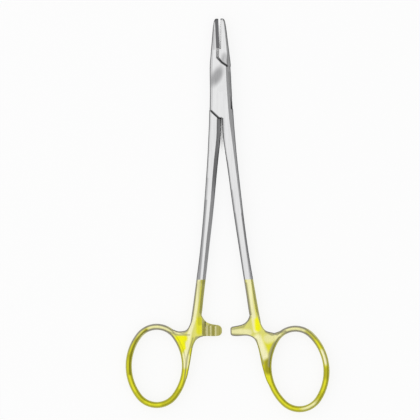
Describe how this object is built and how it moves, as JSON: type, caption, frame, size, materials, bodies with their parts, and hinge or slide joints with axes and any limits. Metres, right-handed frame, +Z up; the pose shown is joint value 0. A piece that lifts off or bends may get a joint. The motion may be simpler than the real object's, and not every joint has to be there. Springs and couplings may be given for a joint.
{
  "type": "surgical needle holder",
  "caption": "Hand instrument with narrow jaws, a box lock, ratcheted shanks and finger rings, used to grip and drive a suture needle.",
  "frame": {"origin": "where the pivot's axis meets the plane of the box's lower face", "axes": "+Y from the pivot towards the jaw tips, +X to the right and +Z up with the instrument lying flat, as the picture looks down on it"},
  "size_m": [0.0778, 0.1509, 0.0054],
  "materials": {
    "female_steel": "satin stainless steel, gold plated from the lower shank to the ring",
    "male_steel": "satin stainless steel, gold plated from the lower shank to the ring",
    "carbide": "dull dark grey tungsten carbide with a fine cross cut",
    "pin_steel": "stainless steel, ground flush with the box"
  },
  "bodies": {
    "female": {"female_half": "female_steel", "female_jaw_insert": "carbide", "pivot_pin": "pin_steel"},
    "male": {"male_half": "male_steel", "male_jaw_insert": "carbide"}
  },
  "joints": [
    {"name": "box_lock_pivot", "type": "hinge", "parent": "female", "child": "male", "pos_m": [0, 0, 0.0027], "axis": [0, 0, -1], "range_deg": [-1.7, 40]}
  ]
}
